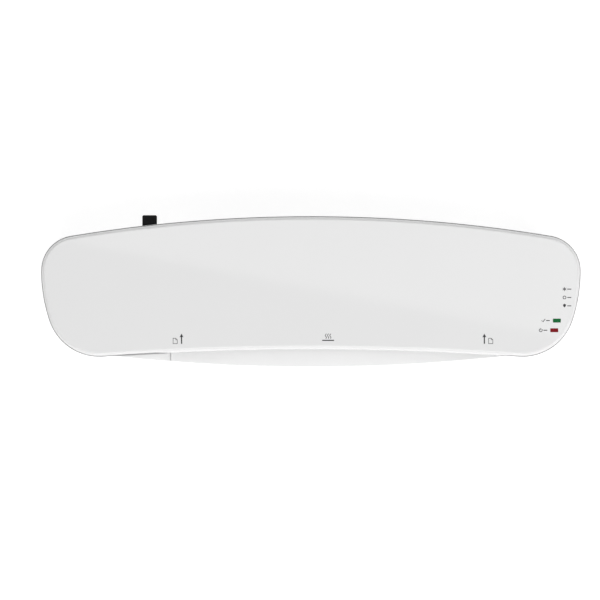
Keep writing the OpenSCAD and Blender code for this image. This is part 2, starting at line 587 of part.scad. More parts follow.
// --- jam release -----------------------------------------------------------------------------------
module release_shaft() color("silver") rod_x(lever_x - 4.9, right_x + 4.5, lift_y, lift_z, lift_r);
module release_cams() color("#3b3d40") for (x = cam_x) difference() {
    union() {
        rod_x(x, x + cam_w, lift_y, lift_z, 4.4);
        block([x, lift_y - 9, lift_z - 1.5], [x + cam_w, lift_y, lift_z + 1.5]);
    }
    rod_x(x - 1, x + cam_w + 1, lift_y, lift_z, lift_r + gap);
}
module release_lever() color("#1c1c1e") difference() {
    union() {
        rod_x(lever_x - 4.4, lever_x + 3, lift_y, lift_z, 5);
        block([lever_x - 4.4, lift_y, lift_z - 2], [lever_x + 3, 37.5, lift_z + 2]);
        rounded_block([lever_x - 5.05, 36, lift_z - 2.5], [lever_x + 5.05, reach, lift_z + 2.5], 1);
    }
    rod_x(lever_x - 6, lever_x + 6, lift_y, lift_z, lift_r + gap);
    // grip grooves on the tab
    for (z = [lift_z + 2.2, lift_z - 2.7], y = [49.2, 50.6])
        block([lever_x - 3.6, y, z], [lever_x + 3.6, y + 0.6, z + 0.5]);
}

// --- electrics ---------------------------------------------------------------------------------------
module control_board() color("#2f6b3c") difference() {
    block([board_low.x, board_low.y, board_z], [board_high.x, board_high.y, board_z + 1.58]);
    for (p = board_posts) translate([p.x, p.y, board_z - 1]) cylinder(h = 4, r = 1.3);
}
module board_screws() color("silver") for (p = board_posts)
    translate([p.x, p.y, board_z - gap]) rotate([180, 0, 0]) screw(0.98, 6, 2, 1.2);
module board_parts() color("#2b2b2b") {
    translate([158, -18, board_z + 1.58 + gap]) cylinder(h = 7, r = 2.6);
    block([161, -12, board_z + 1.58 + gap], [169, -8, board_z + 5]);
    block([155, -24.5, board_z + 1.58 + gap], [160, -22.5, board_z + 3.4]);
    // wire header under the board
    block([162, -16, board_z - 5], [170, -11, board_z - gap]);
}
module led(c) translate([c.x, c.y, board_z + 1.58 + gap]) {
    cylinder(h = 1, r = 1.9);
    translate([0, 0, 0.9]) cylinder(h = 2.6, r = 1.5);
    translate([0, 0, 3.5]) intersection() {
        sphere(r = 1.5);
        translate([0, 0, 1]) cube([4, 4, 2.2], center = true);
    }
}
module lens(c) {
    s = lens_size;
    block([c.x - s.x / 2, c.y - s.y / 2, ceiling - 6], [c.x + s.x / 2, c.y + s.y / 2, body_h + 0.15]);
    block([c.x - s.x / 2 - 0.5, c.y - s.y / 2 - 0.4, ceiling - 1.6],
          [c.x + s.x / 2 + 0.5, c.y + s.y / 2 + 0.4, ceiling - 0.3]);
}
module ready_led() color("#9fe0a8") led(lens_at[0]);
module power_led() color("#e79a94") led(lens_at[1]);
module ready_lens() color("#1e6b35") lens(lens_at[0]);
module power_lens() color("#8a1820") lens(lens_at[1]);
module mode_switch() color("#2b2b2b") difference() {
    union() {
        block([pocket_x - 14, mode_y - 11, mode_z - 5.5],
              [pocket_x - wall - gap, mode_y + 11, mode_z + 5.5]);
        for (y = [-8, -3, 3, 8])
            block([pocket_x - 18, mode_y + y - 0.4, mode_z - 1.5],
                  [pocket_x - 13, mode_y + y + 0.4, mode_z + 1.5]);
    }
    block([pocket_x - 9, mode_y - mode_step - 2.2, mode_z - 1.6],
          [pocket_x, mode_y + mode_step + 2.2, mode_z + 1.6]);
}
module mode_knob() color("#1c1c1e") union() {
    difference() {
        block([pocket_x + 0.3, mode_y - 4, mode_z - 4.4], [pocket_x + 8.6, mode_y + 4, mode_z + 4.4]);
        for (y = [-2.4, -0.8, 0.8, 2.4])
            block([pocket_x + 8.1, mode_y + y - 0.35, mode_z - 5],
                  [pocket_x + 9, mode_y + y + 0.35, mode_z + 5]);
    }
    block([pocket_x - 7, mode_y - 1.7, mode_z - 1.3], [pocket_x + 0.4, mode_y + 1.7, mode_z + 1.3]);
}
module cord_gland() color("#1c1c1e") difference() {
    union() {
        rod_y(gland_x, 25, gland_face + 0.05, gland_z, 5.6 - gap);
        rod_y(gland_x, gland_face + gap, gland_face + 2, gland_z, 7.6);
        rod_y(gland_x, 24.4, 27.4 - gap, gland_z, 6.6);
    }
    rod_y(gland_x, 20, 40, gland_z, 3.4);
}
terminals = [[148, 2], [148, 7], [148, 12]];
module terminal_block() color("#e8e4d8") difference() {
    block([143, -2, floor_z + gap], [153, 16, floor_z + 10]);
    for (t = terminals) {
        translate([t.x, t.y, floor_z + 5]) cylinder(h = 8, r = 1.8);
        rod_x(142, 154, t.y, floor_z + 4, 1.3);
    }
}
// Wire runs, each a few hand-picked points and the offset between its strands.
header_z = board_z - 5.6;
motor_run = [[-134, 9.6, 48], [-132, 17, 50.5], [-124, 30, 51], [-108, 38.5, 50.5], [-40, 39, 50.5],
             [60, 39, 50.5], [130, 38, 50.5], [146, 31, 49], [152, 13, 45], [158, -3, 39],
             [162.6, -10, 36.5], [163.2, -13.5, header_z - 0.5]];
upper_heat_run = [[path_x + 111.1, -17, 39.8], [path_x + 114, -20, 43], [134.5, -22, 46.5], [141, -22, 46.3],
                  [151, -19, 42], [160, -19, 37], [165.4, -17, 37.5], [166, -13.5, header_z]];
lower_heat_run = [[path_x + 111.1, -17, 28.3], [path_x + 114, -18, 24], [134.5, -20, 20], [141, -20, 20],
                  [145, -12, 19], [148, -3, 18.5], [148, 2, 15.8]];
supply_run = [[148, 9.5, 16], [149, 10, 18.5], [152, 7, 20], [154.4, 1.2, 20.2]];
logic_run = [[154.6, -12.4, 20], [152.6, -13, 25], [156, -16, 30], [165, -15.5, 32.5], [168.8, -14, 36.5],
             [168.8, -13.5, header_z]];
module wires(run, r, spread, n) for (i = [0 : n - 1])
    sweep([for (p = curve(run)) p + spread * (i - (n - 1) / 2)], r);
module motor_wires() color("#3a62a8") wires(motor_run, 0.65, [0.9, 0.9, 1.2], 2);
module upper_heater_wires() color("#c8c2b0") wires(upper_heat_run, 0.7, [0.3, 1.7, 0.4], 2);
module lower_heater_wires() color("#c8c2b0") wires(lower_heat_run, 0.7, [-0.9, 1.2, 0.9], 2);
module supply_wires() color("#7a4a2a") wires(supply_run, 0.65, [0, -5, 0], 2);
module logic_wires() color("#b03030") wires(logic_run, 0.45, [0, 1.1, -0.5], 3);

upper_cover();
lower_case();
rubber_feet();
case_screws();
left_side_frame();
right_side_frame();
frame_screws();
spring_caps();
cap_screws();
tie_rods();
tie_screws();
lower_bushings();
upper_bearing_left();
upper_bearing_right();
pressure_springs();
upper_roller_shaft();
upper_roller_sleeve();
upper_roller_gear();
upper_roller_clips();
lower_roller_shaft();
lower_roller_sleeve();
lower_roller_gear();
lower_roller_clips();
upper_heating_plate();
lower_heating_plate();
upper_heater();
lower_heater();
ready_thermostat();
safety_thermostat();
thermostat_screws();
thermal_fuse();
upper_exit_guide();
lower_exit_guide();
lower_heat_shield();
motor_bracket();
motor_standoffs();
motor_screws();
drive_motor();
motor_shaft();
motor_pinion();
release_shaft();
release_cams();
release_lever();
control_board();
board_screws();
board_parts();
ready_led();
power_led();
ready_lens();
power_lens();
mode_switch();
mode_knob();
cord_gland();
terminal_block();
motor_wires();
upper_heater_wires();
lower_heater_wires();
supply_wires();
logic_wires();
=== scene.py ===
"""Looks of a small pouch laminator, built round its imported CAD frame.

The two shells and the pressure springs are rebuilt as smooth lofted meshes, the printed marks are
thin raised shapes, and every CAD node left showing gets a procedural material. Lengths are worked
out in millimetres and turned into the frame's metres when a mesh is made.
"""

import json
import math
from collections import namedtuple

import bmesh
import bpy
from mathutils import Matrix, Vector


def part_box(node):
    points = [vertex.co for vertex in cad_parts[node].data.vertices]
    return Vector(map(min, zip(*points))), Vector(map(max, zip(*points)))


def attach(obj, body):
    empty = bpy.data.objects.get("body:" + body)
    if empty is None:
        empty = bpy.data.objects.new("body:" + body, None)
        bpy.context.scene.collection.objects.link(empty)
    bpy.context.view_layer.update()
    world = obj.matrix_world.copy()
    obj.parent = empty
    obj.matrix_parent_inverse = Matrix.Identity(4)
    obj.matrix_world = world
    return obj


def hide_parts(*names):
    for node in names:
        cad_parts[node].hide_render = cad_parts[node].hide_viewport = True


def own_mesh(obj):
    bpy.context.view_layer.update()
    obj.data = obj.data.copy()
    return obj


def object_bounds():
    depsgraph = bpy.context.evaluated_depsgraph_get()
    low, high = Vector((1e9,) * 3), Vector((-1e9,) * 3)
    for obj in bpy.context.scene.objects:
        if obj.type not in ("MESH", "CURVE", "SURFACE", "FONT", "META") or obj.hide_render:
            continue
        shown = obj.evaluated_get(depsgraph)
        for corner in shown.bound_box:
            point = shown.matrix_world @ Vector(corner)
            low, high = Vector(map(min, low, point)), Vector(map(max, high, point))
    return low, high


MM = 0.001
X, Y, Z = range(3)

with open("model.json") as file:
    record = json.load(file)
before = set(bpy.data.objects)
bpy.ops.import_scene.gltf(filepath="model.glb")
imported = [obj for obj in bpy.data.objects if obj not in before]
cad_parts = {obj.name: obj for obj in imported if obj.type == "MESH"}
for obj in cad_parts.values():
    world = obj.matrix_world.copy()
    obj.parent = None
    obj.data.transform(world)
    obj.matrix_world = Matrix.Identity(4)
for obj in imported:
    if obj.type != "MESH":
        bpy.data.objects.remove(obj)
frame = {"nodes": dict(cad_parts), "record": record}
CAD_LO, CAD_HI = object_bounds()
NODES = frame["nodes"]


def box_mm(node):
    """Lowest and highest corner of a CAD node, in millimetres."""
    lo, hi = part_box(node)
    return lo / MM, hi / MM


def middle(node, axis):
    """Middle of a CAD node's box along one axis, in millimetres."""
    lo, hi = box_mm(node)
    return (lo[axis] + hi[axis]) / 2


# --- sizes read from the frame --------------------------------------------------------------------
COVER_LO, COVER_HI = box_mm("upper_cover")
CASE_LO = box_mm("lower_case")[0]

HALF_W = COVER_HI.x
REAR_EDGE = COVER_HI.y
TOP_Z = COVER_HI.z
RIM_Z = COVER_LO.z  # lowest edge of the upper cover
BOTTOM_Z = CASE_LO.z
LIP_REACH = -CASE_LO.y
PATH_X = middle("upper_roller_sleeve", X)  # middle of the pouch's way
LEVER_X = middle("release_lever", X)
KNOB_Y, KNOB_Z = middle("mode_knob", Y), middle("mode_knob", Z)
GLAND_X, GLAND_Z = middle("cord_gland", X), middle("cord_gland", Z)
GLAND_FLANGE = 2
GLAND_FACE = box_mm("cord_gland")[1].y - GLAND_FLANGE

# --- plan curves, in millimetres ------------------------------------------------------------------
FRONT_EDGE = 40.7  # the cover's front edge, at its middle
REAR_R = 1024
SIDE_R = 110
SIDE_Y = 14.2  # widest point of the ends
FRONT_CORNER_R = 37
LIP_R = 1240

# --- shared sections, in millimetres --------------------------------------------------------------
WALL = 2.2
SPLIT_Z = 30  # top of the lower case
SLOT_W = 229
SLOT_TOP = 36.9  # top of the feed and exit slots
EXIT_EXTRA = 2  # how much further the exit slot goes at each end
LEVER_HALF, LEVER_TOP, LEVER_FOOT = 5.8, 45.4, 34.4  # notch of the lever
LEVER_SLACK = 0.4  # how much narrower its foot is, each side
EPS = 0.02  # width of the columns that make an upright step
STEP_FILLET = 0.4  # rounding where a step meets the rim
NOTCH_R = 1.2  # rounding of a notch's inner corners
QUARTER = [math.radians(a) for a in (0, 30, 60, 90)]  # turns of a small fillet

SLOT_X0, SLOT_X1 = PATH_X - SLOT_W / 2, PATH_X + SLOT_W / 2

# --- the cover's section --------------------------------------------------------------------------
CURL_W, CURL_H, CURL_STEP = 2.8, 5.2, 9  # round-over of the top edge, and its rows in degrees
CURL_INSET = 0.4  # draft of the wall
RIM_FILLET = 0.35
REVEAL_W, REVEAL_DEPTH, REVEAL_LEDGE = 0.35, 1.35, 0.45  # groove round the top plate
REVEAL_LIP = 0.12  # how far the wall stands out below it
REVEAL_START, REVEAL_RAMP = 0.5, 8  # where it begins beside the feed, and how soon it is full
ROW = 0.05  # least height between two rows of the groove
TOP_RINGS = (1.2, 0.25)  # flat rings of the top, inside the rolled edge
WALL_ROW_Z = 48
COVER_INNER = [(2.4, 56.8), (2.9, 60.2), (4.6, 61.8)]  # top of the inner face, (inset, z)
LENS_LAP_X, LENS_LAP_Y, LENS_R = 0.4, 0.3, 0.3  # how far the cover laps over a lens
LENS_CUT = (55, 66)  # heights that a lens's window is cut between

# --- the case's section, as insets from its wall --------------------------------------------------
FOOT_IN, FOOT_BULGE, FOOT_H = 12, 5.3, 5  # rounded foot
TAPER_IN, TAPER_Z = 0.6, 25.4  # top of the tapered wall
TAPER_RUN, TAPER_RISE = FOOT_IN - FOOT_BULGE - TAPER_IN, TAPER_Z - BOTTOM_Z - FOOT_H
WALL_LEAN = math.atan2(TAPER_RUN, TAPER_RISE)  # from upright
SHOULDER = [(0.25, 25.8, 0.7), (0.08, 26.4, 0.55)]  # (inset, z, least drop below the deck)
DECK_FILLET = 0.5
DECK_END, DECK_ROWS = -36, 10
DECK_FAN = (130, 152)  # distances from the middle where the deck's rows begin and end to turn
CHANNEL = [(-53.5, 27.4), (-46, 28.6), (-40, 30.4), (-36, 31.4)]  # floor of the feed, (y, z)
GROOVE_W, GROOVE_DEPTH = 0.6, 1.6  # parting groove at each end of the channel
# (distance in from the channel's end, share of its depth), where 2 is the groove
GROOVE_LINE = [(0, 0), (EPS, 2), (GROOVE_W, 2), (GROOVE_W + EPS, 1.15), (GROOVE_W + 0.25, 1)]
FLOOR_Z = 5.2
CASE_INNER = [(2.8, 24), (9, FLOOR_Z + 3.2), (12, FLOOR_Z), (13, FLOOR_Z)]
BASE_IN = 13
TONGUE_OUT, TONGUE_IN, TONGUE_H = 2.7, 3.9, 3  # tongue in the cover's foot, from the cover's edge
TONGUE_R = 0.3
EXIT_LOW = 31  # the tongue's top, in the exit slot

# --- what is added to the case and cut from it ----------------------------------------------------
PILLARS = [(-161, 18), (-157, -22), (161, 18), (148, -27)]
PILLAR_R, HEAD_R, SHANK_R, HEAD_DEPTH = 5, 3.4, 1.7, 17  # pillar, and its screw's bores
FOOT_GAP, FOOT_DEPTH = 0.3, 0.8  # recesses of the rubber feet
FLOOR_SLOTS, FLOOR_PITCH, FLOOR_SLOT = 14, 14, (34, 3)
FLOOR_SLOT_X, FLOOR_SLOT_Y = -91, 3  # the first slot, from the middle of the pouch's way
VENTS, VENT_PITCH, VENT_X, VENT_Z = 12, 16, -88, 18.5
VENT_SIZE, VENT_FLARE, VENT_DEPTH = (11.4, 4), 0.45, 6
GLAND_BOSS_R, GLAND_HOLE_R, GLAND_SEAT_R = 9, 5.6, 8.4
GLAND_BOSS_Y, GLAND_HOLE_Y = 27.4, 26  # where each starts
OUTSIDE_Y = 50  # clear of the rear wall by the gland
POCKET_X, POCKET_HALF, POCKET_R = 173.5, (11, 6), 1.5  # floor and opening of the knob's pocket
POCKET_WALL, POCKET_OUTER_R = 1.6, 1
KNOB_SLOT, KNOB_SLOT_R = (16, 3), 1.2
SHADOW_Y, SHADOW_DEPTH = -40, 1.4  # gap before the cover's foot: it keeps in front of SHADOW_Y
SHADOW_IN, SHADOW_OUT = -0.02, -0.3  # its sides, as insets of the cover's edge
BEYOND = 20  # how far a cutter stands out of the end wall
ALONG_Y = Matrix(((1, 0, 0, 0), (0, 0, 1, 0), (0, -1, 0, 0), (0, 0, 0, 1)))  # own z runs along +Y
ALONG_X = Matrix(((0, 0, 1, 0), (1, 0, 0, 0), (0, 1, 0, 0), (0, 0, 0, 1)))  # own z runs along +X

Arc = namedtuple("Arc", "x y r start end steps bulge")
Column = namedtuple("Column", "x y nx ny arc")


# --- outlines -------------------------------------------------------------------------------------
def plan_arcs():
    """The right halves of both outlines, as arcs from the middle of the front to that of the rear,
    and how far the case's wall stands inside its outline. bulge is +1 where an inset shrinks an
    arc's radius, and -1 on a hollow arc."""
    rear_c = REAR_EDGE - REAR_R
    side_x = HALF_W - SIDE_R
    corner_r = (REAR_R**2 - HALF_W**2 - (SIDE_Y - rear_c) ** 2) / (2 * REAR_R - 2 * HALF_W)
    corner_x = HALF_W - corner_r
    rear_turn = math.atan2(SIDE_Y - rear_c, corner_x)
    front_y = FRONT_CORNER_R + COVER_LO.y
    front_x = side_x + math.sqrt((SIDE_R - FRONT_CORNER_R) ** 2 - (SIDE_Y - front_y) ** 2)
    side_turn = math.atan2(front_y - SIDE_Y, front_x - side_x)
    drop = front_y + FRONT_EDGE
    hollow_r = (front_x**2 + drop**2 - FRONT_CORNER_R**2) / (2 * (FRONT_CORNER_R - drop))
    hollow_c = -FRONT_EDGE - hollow_r
    hollow_turn = math.atan2(front_x, front_y - hollow_c)
    lip_c = LIP_R - LIP_REACH
    lip_turn = math.atan2(front_y - lip_c, front_x)
    inset = FRONT_CORNER_R - (LIP_R - math.hypot(front_x, front_y - lip_c))
    ends = [
        Arc(side_x, SIDE_Y, SIDE_R, side_turn, 0, 26, 1),
        Arc(corner_x, SIDE_Y, corner_r, 0, rear_turn, 22, 1),
        Arc(0, rear_c, REAR_R, rear_turn, math.pi / 2, 46, 1),
    ]
    cover = [
        Arc(0, hollow_c, hollow_r, math.pi / 2, math.pi / 2 - hollow_turn, 40, -1),
        Arc(front_x, front_y, FRONT_CORNER_R, -math.pi / 2 - hollow_turn, side_turn, 26, 1),
    ]
    case = [
        Arc(0, lip_c, LIP_R + inset, -math.pi / 2, lip_turn, 44, 1),
        Arc(front_x, front_y, FRONT_CORNER_R, lip_turn, side_turn, 24, 1),
    ]
    return cover + ends, case + ends, inset


COVER_ARCS, CASE_ARCS, CASE_INSET = plan_arcs()
LAST_ARC = len(CASE_ARCS) - 1
COLUMN_GAP = 0.7  # least distance of a plain column from a marked one


def columns(arcs, front_marks=(), rear_marks=()):
    """Columns once round an outline, from the middle of its front to the right and back.
    The marks are places along X, on the front and the rear arc, that need columns of their own."""

    def half(side):
        found = []
        for n, arc in enumerate(arcs):
            marks = {0: front_marks, LAST_ARC: rear_marks}.get(n, [])
            turn = -1 if math.sin(arc.start + (arc.end - arc.start) / 2) < 0 else 1
            own = [turn * math.acos((side * x - arc.x) / arc.r) for x in marks if side * x > 0]
            plain = [arc.start + (arc.end - arc.start) * i / arc.steps for i in range(arc.steps)]
            plain = [a for a in plain if all(abs(a - b) * arc.r > COLUMN_GAP for b in own)]
            for a in sorted(plain + own, reverse=arc.end < arc.start):
                c, s = math.cos(a), math.sin(a)
                found.append(Column(side * (arc.x + arc.r * c), arc.y + arc.r * s,
                                    side * arc.bulge * c, arc.bulge * s, n))
        return found

    right, left = half(1), half(-1)
    rear = Column(0, REAR_EDGE, 0, 1, LAST_ARC)
    return right + [rear] + left[:0:-1]


def inset_point(c, inset, z):
    return (c.x - c.nx * inset, c.y - c.ny * inset, z)


def step_line(edge, inward, outside, inside, r):
    """Heights across an upright step at x = edge, as (x, z) pairs going inward, with its two
    corners rounded."""
    up = 1 if inside > outside else -1
    line = [(edge - inward * (EPS + STEP_FILLET * (1 - math.sin(t))),
             outside + up * STEP_FILLET * (1 - math.cos(t))) for t in QUARTER]
    line += [(edge + inward * r * (1 - math.cos(t)), inside - up * r * (1 - math.sin(t)))
             for t in QUARTER]
    return line


def notch_line(x0, x1, outside, inside, r):
    return step_line(x0, 1, outside, inside, r) + step_line(x1, -1, outside, inside, r)[::-1]


def groove_line(x0, x1):
    """Share of the channel's depth across the deck, 2 in the groove at each end and 1 between."""
    return ([(x0 + d, share) for d, share in GROOVE_LINE]
            + [(x1 - d, share) for d, share in GROOVE_LINE[::-1]])


def height_at(x, line, outside):
    """The height at x along (x, z) pairs sorted by x."""
    if x <= line[0][0] or x >= line[-1][0]:
        return outside
    for (xa, za), (xb, zb) in zip(line, line[1:]):
        if xa <= x <= xb:
            return za + (zb - za) * (x - xa) / max(xb - xa, 1e-9)
    return outside


# --- mesh helpers ---------------------------------------------------------------------------------
SHELL_SHARP, MARK_SHARP, COIL_SHARP = 32, 30, 60  # degrees above which an edge isn't smoothed


def smooth(mesh, sharp):
    mesh.shade_smooth()
    mesh.set_sharp_from_angle(angle=math.radians(sharp))


def finish_mesh(name, bm, body=None, sharp=SHELL_SHARP):
    """A shaded object from a bmesh in millimetres, on a CAD body where one is named."""
    mesh = bpy.data.meshes.new(name)
    bmesh.ops.recalc_face_normals(bm, faces=bm.faces)
    bm.transform(Matrix.Scale(MM, 4))
    bm.to_mesh(mesh)
    bm.free()
    smooth(mesh, sharp)
    obj = bpy.data.objects.new(name, mesh)
    bpy.context.scene.collection.objects.link(obj)
    if body:
        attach(obj, body)
    return obj


def loft_into(bm, rings):
    """Adds a closed solid through rings of equal length, flat at both ends."""
    grid = [[bm.verts.new(p) for p in ring] for ring in rings]
    n = len(rings[0])
    for a, b in zip(grid, grid[1:]):
        for i in range(n):
            j = (i + 1) % n
            bm.faces.new((a[i], a[j], b[j], b[i]))
    bm.faces.new(grid[0])
    bm.faces.new(grid[-1])


def prism_into(bm, outline, z0, z1, place=None):
    """Adds a straight prism of an outline. place turns it from its own axes into the frame's."""
    rings = [[Vector((x, y, z)) for x, y in outline] for z in (z0, z1)]
    if place:
        rings = [[place @ p for p in ring] for ring in rings]
    loft_into(bm, rings)


def disc(x, y, r, steps=40):
    return [(x + r * math.cos(math.tau * i / steps), y + r * math.sin(math.tau * i / steps))
            for i in range(steps)]


def stadium(x, y, length, width, steps=8):
    """A slot along Y with round ends."""
    r, half = width / 2, length / 2 - width / 2
    arc = [math.pi * i / steps for i in range(steps + 1)]
    return ([(x + r * math.cos(a), y + half + r * math.sin(a)) for a in arc]
            + [(x - r * math.cos(a), y - half - r * math.sin(a)) for a in arc])


def rounded_rect(x, y, w, h, r, steps=5):
    points = []
    for cx, cy, start in ((1, 1, 0), (-1, 1, 90), (-1, -1, 180), (1, -1, 270)):
        for i in range(steps + 1):
            a = math.radians(start + 90 * i / steps)
            points.append((x + cx * (w / 2 - r) + r * math.cos(a),
                           y + cy * (h / 2 - r) + r * math.sin(a)))
    return points


def cut(obj, bm, operation="DIFFERENCE"):
    """Applies a boolean with the solids in bm, given in millimetres."""
    tool = finish_mesh("tool", bm)
    mod = obj.modifiers.new("cut", "BOOLEAN")
    mod.operation, mod.solver, mod.object = operation, "EXACT", tool
    mod.use_self = True
    bpy.context.view_layer.update()
    made = bpy.data.meshes.new_from_object(obj.evaluated_get(bpy.context.evaluated_depsgraph_get()))
    obj.modifiers.clear()
    old, obj.data = obj.data, made
    bpy.data.meshes.remove(old)
    bpy.data.objects.remove(tool)
    made.name = obj.name
    smooth(made, SHELL_SHARP)
    return obj


# --- the upper cover ------------------------------------------------------------------------------
def cover_shell():
    """The glossy cover: flat top, rolled edge, feed and exit slots, and the lever's notch."""
    front = notch_line(SLOT_X0, SLOT_X1, RIM_Z, SLOT_TOP, NOTCH_R)
    lever = notch_line(LEVER_X - LEVER_HALF, LEVER_X + LEVER_HALF, RIM_Z, LEVER_TOP, NOTCH_R)
    exit_line = notch_line(SLOT_X0 - EXIT_EXTRA, SLOT_X1 + EXIT_EXTRA, RIM_Z, SLOT_TOP, NOTCH_R)
    around = columns(COVER_ARCS, [x for x, _ in front], [x for x, _ in lever + exit_line])
    curl_low = TOP_Z - CURL_H

    def rim(c):
        if c.arc == 0:
            return height_at(c.x, front, RIM_Z)
        if c.arc == LAST_ARC:
            return max(height_at(c.x, lever, RIM_Z), height_at(c.x, exit_line, RIM_Z))
        return RIM_Z

    def wall(z):
        return CURL_INSET * (z - RIM_Z) / (curl_low - RIM_Z)

    def reveal(c):
        """Share of the reveal groove: none over the feed, where the rim is raised."""
        if c.arc:
            return 1.0
        off = max(SLOT_X0 - c.x, c.x - SLOT_X1) - REVEAL_START
        return max(0.0, min(1.0, off / REVEAL_RAMP))

    def rows(c):
        low, f, g = rim(c), RIM_FILLET, reveal(c)
        plate = CURL_INSET + REVEAL_LEDGE * g
        ledge = plate - REVEAL_W * g
        bed = curl_low - REVEAL_DEPTH * g
        top = [(CURL_INSET + CURL_W + ring, TOP_Z) for ring in TOP_RINGS]
        across = CURL_W - REVEAL_LEDGE * g
        curl = [(plate + across * (1 - math.cos(t)), curl_low + CURL_H * math.sin(t))
                for t in (math.radians(a) for a in range(90, -1, -CURL_STEP))]
        groove = [(plate, bed - ROW), (ledge, bed - 2 * ROW), (ledge - ROW * g, curl_low - 3 * ROW),
                  (CURL_INSET - REVEAL_LIP * g, curl_low - (4 + g) * ROW)]
        edge = [(wall(z) + f * (1 - math.cos(t)), z)
                for t, z in ((t, low + f * (1 - math.sin(t))) for t in QUARTER)]
        inner = [(WALL - f, low), (WALL - 0.1, low + 0.1), (WALL, low + f)] + COVER_INNER
        return top + curl + groove + [(wall(WALL_ROW_Z), WALL_ROW_Z)] + edge + inner

    grid = [[inset_point(c, i, z) for i, z in rows(c)] for c in around]
    bm = bmesh.new()
    loft_into(bm, [list(ring) for ring in zip(*grid)])
    windows = bmesh.new()
    for node in ("ready_lens", "power_lens"):
        lo, hi = box_mm(node)
        outline = rounded_rect(middle(node, X), middle(node, Y), hi.x - lo.x - 2 * LENS_LAP_X,
                               hi.y - lo.y - 2 * LENS_LAP_Y, LENS_R)
        prism_into(windows, outline, *LENS_CUT)
    return cut(finish_mesh("cover_shell", bm), windows)


# --- the lower case -------------------------------------------------------------------------------
def channel_z(y):
    return height_at(y, CHANNEL, CHANNEL[0][1] if y <= CHANNEL[0][0] else CHANNEL[-1][1])


def case_foot(steps=6):
    """The case's section from the table up to the start of its straight wall: (inset, z)."""
    turns = [math.pi / 2 * i / steps for i in range(steps + 1)]
    return [(CASE_INSET + FOOT_IN - FOOT_BULGE * math.sin(t), BOTTOM_Z + FOOT_H * (1 - math.cos(t)))
            for t in turns]


def tongue_rows(crest):
    """Section of the tongue behind the cover's foot: (inset, z)."""
    a, b, chamfer = TONGUE_OUT, TONGUE_IN, 0.15
    return [(a - 0.1, SPLIT_Z), (a, SPLIT_Z + ROW), (a, (SPLIT_Z + crest) / 2), (a, crest - 0.2),
            (a + chamfer, crest), (b - chamfer, crest), (b, crest - 0.2), (b, SPLIT_Z + ROW),
            (b + 0.2, SPLIT_Z), (b + 0.7, SPLIT_Z - 0.1)]


def case_shell():
    """The lower case: tapered wall, feed lip with channel, tongue, vents, pocket and gland seat."""
    out = CASE_INSET
    crest = SPLIT_Z + TONGUE_H
    sink_line = groove_line(SLOT_X0, SLOT_X1)
    tongue = notch_line(SLOT_X0 - EXIT_EXTRA, SLOT_X1 + EXIT_EXTRA, crest, EXIT_LOW, TONGUE_R)
    half = LEVER_HALF - LEVER_SLACK
    foot = notch_line(LEVER_X - half, LEVER_X + half, crest, LEVER_FOOT, TONGUE_R)
    around = columns(CASE_ARCS, [x for x, _ in sink_line], [x for x, _ in tongue + foot])
    inside = [(out + i, z) for i, z in CASE_INNER]

    def deck_z(c, y):
        """Height of the deck: plain, in the channel, or in the groove at each of its ends."""
        share = height_at(c.x, sink_line, 0) if c.arc == 0 else 0
        return (SPLIT_Z + min(share, 1) * (channel_z(y) - SPLIT_Z)
                - max(share - 1, 0) * GROOVE_DEPTH)

    def outer_points(c):
        z = deck_z(c, inset_point(c, out + DECK_FILLET, 0)[1])
        line = [(out + BASE_IN, BOTTOM_Z)] + case_foot() + [(out + TAPER_IN, TAPER_Z)]
        line += [(out + i, min(high, z - drop)) for i, high, drop in SHOULDER]
        line += [(out + DECK_FILLET * (1 - math.cos(t)), z - DECK_FILLET * (1 - math.sin(t)))
                 for t in QUARTER]
        return [inset_point(c, i, h) for i, h in line]

    def deck_points(c):
        """Rows over the deck, straight back in its middle part and square to the edge at its ends,
        and then down the inner face."""
        x, y, _ = inset_point(c, out + DECK_FILLET, 0)
        lean = max(0.0, min(1.0, (abs(c.x) - DECK_FAN[0]) / (DECK_FAN[1] - DECK_FAN[0])))
        dx, dy = -c.nx * lean, (1 - lean) - c.ny * lean
        points = []
        for k in range(1, DECK_ROWS + 1):
            back = (DECK_END - y) * k / DECK_ROWS
            points.append((x + dx * back / max(dy, 0.1), y + back, deck_z(c, y + back)))
        end_x = abs(points[-1][0])
        for k, (i, h) in enumerate(inside):
            x, y, _ = inset_point(c, i, h)
            points.append((math.copysign(min(abs(x), end_x), c.x), max(y, DECK_END + 0.4 * k), h))
        return points

    def rows(c):
        if c.arc == 0:
            return outer_points(c) + deck_points(c)
        high = crest
        if c.arc == LAST_ARC:
            high = max(min(height_at(c.x, tongue, crest), crest), height_at(c.x, foot, 0))
        return outer_points(c) + [inset_point(c, i, h) for i, h in tongue_rows(high) + inside]

    bm = bmesh.new()
    loft_into(bm, [list(ring) for ring in zip(*[rows(c) for c in around])])
    case = finish_mesh("case_shell", bm)
    cut(case, case_extras(), "UNION")
    return cut(case, case_cutters())


def inner_skin():
    """A closed solid just inside the case's outer skin, to clip what is added inside it."""
    gap = 0.4
    top = [(CASE_INSET + TAPER_IN, TAPER_Z), (CASE_INSET + TAPER_IN, SPLIT_Z - 0.8)]
    profile = [(i + gap, z) for i, z in case_foot() + top]
    profile[0] = (profile[0][0], BOTTOM_Z + gap)
    around = columns(CASE_ARCS)
    bm = bmesh.new()
    loft_into(bm, [[inset_point(c, i, z) for c in around] for i, z in profile])
    return bm


def gland_disc(r, steps=40):
    """A circle round the gland's middle, for a prism placed along Y."""
    return [(x, -z) for x, z in disc(GLAND_X, GLAND_Z, r, steps)]


